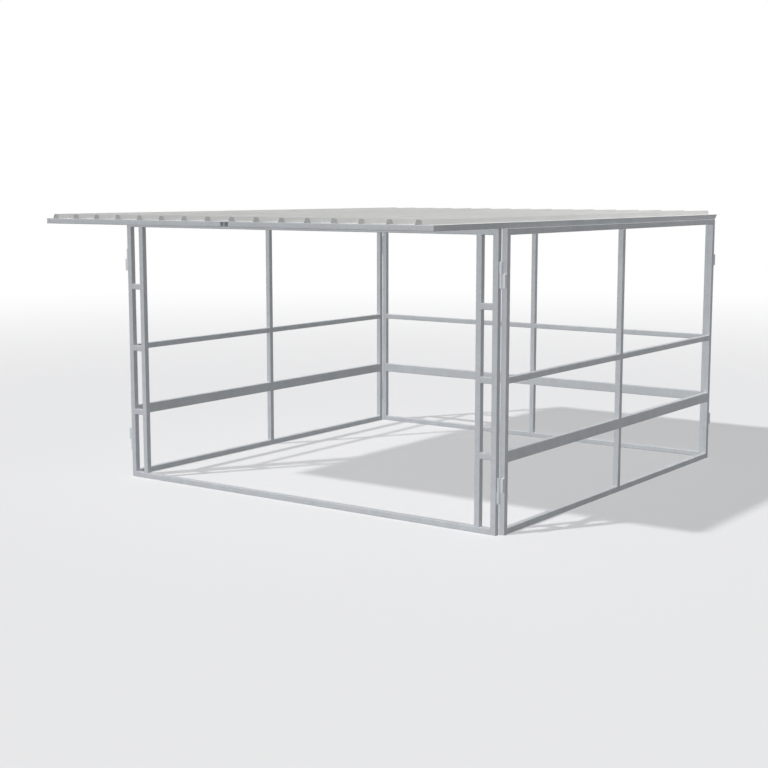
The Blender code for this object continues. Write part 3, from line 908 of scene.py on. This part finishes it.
# %% [markdown]
# ## Roofing screws
#
# A ribbed sheet is held by self-drilling screws through its flat pans into the tubes below: one in each pan
# over the front beam, the purlin and the back beam. A screw shows a flange and a hexagonal head on a steel
# washer, with a sealing ring under it. Each part is a low cylinder, stepped and bevelled. A new pan starts
# after each rib, so the places follow the rib pitch. Each head is turned further than the one in the pan
# before it.

# %% Screw shape
WASHER_RADIUS = 0.0080
WASHER_HEIGHT = 0.0014
SEAL_RADIUS = 0.0074
SEAL_HEIGHT = 0.0014
FLANGE_RADIUS = 0.0056
FLANGE_HEIGHT = 0.0011
HEX_RADIUS = 0.0046
HEX_HEIGHT = 0.0042
ROUND_SIDES = 16
HEX_SIDES = 6
SMALL_EDGE = 0.0004
HEX_EDGE = 0.0005
WIDE_EDGE = 0.0006


def disc(shape, radius, low, height, sides, broken=SMALL_EDGE):
    """A short prism on the z axis, with its upper edge broken. Six sides make a bolt head."""
    made = bmesh.ops.create_cone(
        shape,
        cap_ends=True,
        segments=sides,
        radius1=radius,
        radius2=radius,
        depth=height,
        matrix=Matrix.Translation((0.0, 0.0, low + height / 2)),
    )
    top = low + height
    edges = dict.fromkeys(edge for point in made["verts"] for edge in point.link_edges)
    rim = [edge for edge in edges if all(abs(point.co.z - top) < JOIN_DISTANCE for point in edge.verts)]
    bmesh.ops.bevel(shape, geom=rim, offset=broken, affect="EDGES", segments=2, profile=0.5, material=-1)


def screw_mesh():
    shape = bmesh.new()
    flange_low = SEAL_HEIGHT + WASHER_HEIGHT
    disc(shape, SEAL_RADIUS, 0.0, SEAL_HEIGHT, ROUND_SIDES)
    disc(shape, WASHER_RADIUS, SEAL_HEIGHT, WASHER_HEIGHT, ROUND_SIDES, WIDE_EDGE)
    disc(shape, FLANGE_RADIUS, flange_low, FLANGE_HEIGHT, ROUND_SIDES)
    disc(shape, HEX_RADIUS, flange_low + FLANGE_HEIGHT, HEX_HEIGHT, HEX_SIDES, HEX_EDGE)
    return to_mesh("roofing_screw", shape)


screw = screw_mesh()
print("a screw has", len(screw.polygons), "faces")

# %% Place the screws
FIRST_RIB = -1.71
RIB_PITCH = 0.228
PANS = 15
SHEET_STEEL = 0.0007
TURN_PER_PAN = 37.0
TURN_PER_LINE = 61.0
sheet_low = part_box("roof_sheet_middle")[0].z
screw_lines = [
    (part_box(node)[0].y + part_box(node)[1].y) / 2
    for node in ("roof_front_beam_left", "roof_purlin_left", "roof_back_beam_left")
]
screws = bmesh.new()
for pan in range(PANS):
    for line, y in enumerate(screw_lines):
        x = FIRST_RIB + RIB_PITCH * (pan + 0.5)
        turn = Matrix.Rotation(math.radians(TURN_PER_PAN * pan + TURN_PER_LINE * line), 4, "Z")
        add_turned(screws, screw, Matrix.Translation((x, y, sheet_low + SHEET_STEEL)) @ turn)
finished_piece("roofing_screws", screws, bright_zinc, "shelter", smooth=False)

# %% [markdown]
# ## Bolts between the two roof frames
#
# The roof comes as two frames, which are bolted together side by side under the middle sheet. Each bolt has
# a hexagonal head on a washer on the left, and a washer, a nut and a few turns of bare thread on the right.
# The shank between them is hidden in the tubes. The thread is the rippled rod once more, with finer ripples.

# %% Bolts
BOLT_SHARES = (0.1, 0.37, 0.63, 0.9)
BOLT_TURN = 137.0
BOLT_WASHER_RADIUS = 0.0085
BOLT_WASHER_HEIGHT = 0.0016
BOLT_WASHER_SIDES = 24
BOLT_HEX_RADIUS = 0.0075
BOLT_HEAD_HEIGHT = 0.0053
NUT_HEIGHT = 0.0065
THREAD_RADIUS = 0.0039
THREAD_LENGTH = 0.0135
THREAD_RIPPLE = 0.0006


def washer_and_hex(hex_height):
    shape = bmesh.new()
    disc(shape, BOLT_WASHER_RADIUS, 0.0, BOLT_WASHER_HEIGHT, BOLT_WASHER_SIDES)
    disc(shape, BOLT_HEX_RADIUS, BOLT_WASHER_HEIGHT, hex_height, HEX_SIDES, WIDE_EDGE)
    return shape


bolt_head = to_mesh("bolt_head", washer_and_hex(BOLT_HEAD_HEIGHT))
nut_shape = washer_and_hex(NUT_HEIGHT)
nut_shape.from_mesh(rippled_rod(THREAD_LENGTH, THREAD_RADIUS, THREAD_RIPPLE))
nut = to_mesh("nut", nut_shape)

left_low, left_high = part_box("roof_centre_beam_left")
right_low, right_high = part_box("roof_centre_beam_right")
beam_middle = (right_low.z + right_high.z) / 2
bolts = bmesh.new()
for share in BOLT_SHARES:
    y = left_low.y + share * (left_high.y - left_low.y)
    turn = Matrix.Rotation(math.radians(BOLT_TURN * share), 4, "Z")
    to_left = Matrix.Rotation(-QUARTER_TURN, 4, "Y") @ turn
    to_right = Matrix.Rotation(QUARTER_TURN, 4, "Y") @ turn
    add_turned(bolts, bolt_head, Matrix.Translation((left_low.x, y, beam_middle)) @ to_left)
    add_turned(bolts, nut, Matrix.Translation((right_high.x, y, beam_middle)) @ to_right)
finished_piece("roof_frame_bolts", bolts, bright_zinc, "shelter", smooth=False)

# %% [markdown]
# ## The floor
#
# The shelter stands on a plain pale floor. Near the shelter the floor is a real surface that takes a shadow.
# Further out it turns into plain white light for the camera and in reflections, so that no horizon line
# shows behind the thin tubes. The distance from the middle of the floor, read from the floor's own
# coordinates, drives the change. Rays that carry light to the tubes meet a darker floor, so that it
# doesn't light them too much from below.

# %% Floor
FLOOR_SIZE = 120.0
FADE_START = 5.0
FADE_END = 24.0
FLOOR_SEEN = (0.61, 0.61, 0.617, 1.0)
FLOOR_FELT = (0.23, 0.23, 0.235, 1.0)
WHITE = (1.0, 1.0, 1.0, 1.0)

floor_shape = bmesh.new()
bmesh.ops.create_grid(floor_shape, x_segments=1, y_segments=1, size=FLOOR_SIZE / 2)
floor_mesh = to_mesh("floor", floor_shape)
floor = bpy.data.objects.new("floor", floor_mesh)
scene.collection.objects.link(floor)


def seen_rays(tree):
    """One for the rays whose hit shows in the picture, straight or in a reflection, and zero for the rest."""
    rays = add_node(tree, "ShaderNodeLightPath")
    mirrored = add_node(tree, "ShaderNodeMath", operation="MAXIMUM")
    seen = add_node(tree, "ShaderNodeMath", operation="MAXIMUM")
    tree.links.new(rays.outputs["Is Camera Ray"], mirrored.inputs[0])
    tree.links.new(rays.outputs["Is Glossy Ray"], mirrored.inputs[1])
    tree.links.new(mirrored.outputs[0], seen.inputs[0])
    tree.links.new(rays.outputs["Is Transmission Ray"], seen.inputs[1])
    return seen.outputs[0]


def floor_finish():
    finish, tree, shader = new_finish("pale_floor")
    shader.inputs["Roughness"].default_value = 0.9
    shader.inputs["Specular IOR Level"].default_value = 0.0
    seen = seen_rays(tree)
    greys = {COLOUR_A: FLOOR_FELT, COLOUR_B: FLOOR_SEEN}
    colour = add_node(tree, "ShaderNodeMix", greys, data_type="RGBA")
    place = add_node(tree, "ShaderNodeTexCoord")
    distance = add_node(tree, "ShaderNodeVectorMath", operation="LENGTH")
    far = add_node(tree, "ShaderNodeMapRange", {"From Min": FADE_START, "From Max": FADE_END})
    far.interpolation_type = "SMOOTHSTEP"
    share = add_node(tree, "ShaderNodeMath", operation="MULTIPLY")
    white = add_node(tree, "ShaderNodeEmission", {"Color": WHITE, "Strength": 1.0})
    fade = add_node(tree, "ShaderNodeMixShader")
    tree.links.new(seen, colour.inputs[0])
    tree.links.new(colour.outputs[COLOUR_OUT], shader.inputs["Base Color"])
    tree.links.new(place.outputs["Object"], distance.inputs[0])
    tree.links.new(distance.outputs["Value"], far.inputs["Value"])
    tree.links.new(far.outputs[0], share.inputs[0])
    tree.links.new(seen, share.inputs[1])
    tree.links.new(share.outputs[0], fade.inputs[0])
    tree.links.new(shader.outputs[0], fade.inputs[1])
    tree.links.new(white.outputs[0], fade.inputs[2])
    tree.links.new(fade.outputs[0], tree.nodes["Material Output"].inputs["Surface"])
    return finish


floor_mesh.materials.append(floor_finish())
print("floor fades to white from", FADE_START, "to", FADE_END, "metres")

# %% [markdown]
# ## The light
#
# In the photograph the fronts of the tubes are light, their right sides are a step darker, and the frame
# throws a clear shadow on the ground but none on itself. So one lamp throws the shadow and, through light
# linking, lights the floor only. Four lamps for the frame come from the upper left, the front, the right and
# the back, and throw no shadow. The sky adds the soft darkening under the roof.

# %% Lamps
SHADOW_FROM = (-0.365, -0.585, 0.723)
TOP_FROM = (-0.30, -0.45, 0.84)
FRONT_FROM = (0.0, -0.98, 0.20)
RIGHT_FROM = (0.97, -0.10, 0.20)
BACK_FROM = (-0.05, 0.97, 0.20)


def lamp(name, direction, strength, softness, shadow=False):
    """A sun lamp that shines from that direction. The softness is its width in degrees."""
    data = bpy.data.lights.new(name, "SUN")
    data.energy = strength
    data.angle = math.radians(softness)
    data.use_shadow = shadow
    thing = bpy.data.objects.new(name, data)
    thing.rotation_euler = Vector(direction).to_track_quat("Z", "Y").to_euler()
    scene.collection.objects.link(thing)
    return thing


floor_only = bpy.data.collections.new("floor_only")
floor_only.objects.link(floor)
shadow_lamp = lamp("shadow_on_floor", SHADOW_FROM, strength=2.0, softness=2.5, shadow=True)
shadow_lamp.light_linking.receiver_collection = floor_only
lamp("top_light", TOP_FROM, strength=2.2, softness=10.0)
lamp("front_fill", FRONT_FROM, strength=1.05, softness=30.0)
lamp("right_fill", RIGHT_FROM, strength=0.38, softness=30.0)
lamp("back_fill", BACK_FROM, strength=0.6, softness=30.0)

# %% [markdown]
# ## The sky
#
# The world is plain white for the camera and in reflections, and a weaker, slightly blue sky for all other
# rays, so that the white background adds nothing to the light on the tubes.

# %% Sky
SKY = 0.14
SKY_COLOUR = (0.97, 0.99, 1.0, 1.0)

world = bpy.data.worlds.new("studio")
scene.world = world
world.use_nodes = True
sky_tree = world.node_tree
sky = sky_tree.nodes["Background"]
sky.inputs["Color"].default_value = SKY_COLOUR
sky.inputs["Strength"].default_value = SKY
white_sky = add_node(sky_tree, "ShaderNodeBackground", {"Color": WHITE, "Strength": 1.0})
choose = add_node(sky_tree, "ShaderNodeMixShader")
sky_tree.links.new(seen_rays(sky_tree), choose.inputs[0])
sky_tree.links.new(sky.outputs[0], choose.inputs[1])
sky_tree.links.new(white_sky.outputs[0], choose.inputs[2])
sky_tree.links.new(choose.outputs[0], sky_tree.nodes["World Output"].inputs["Surface"])
scene.view_settings.view_transform = "Standard"
print("sky strength", SKY)
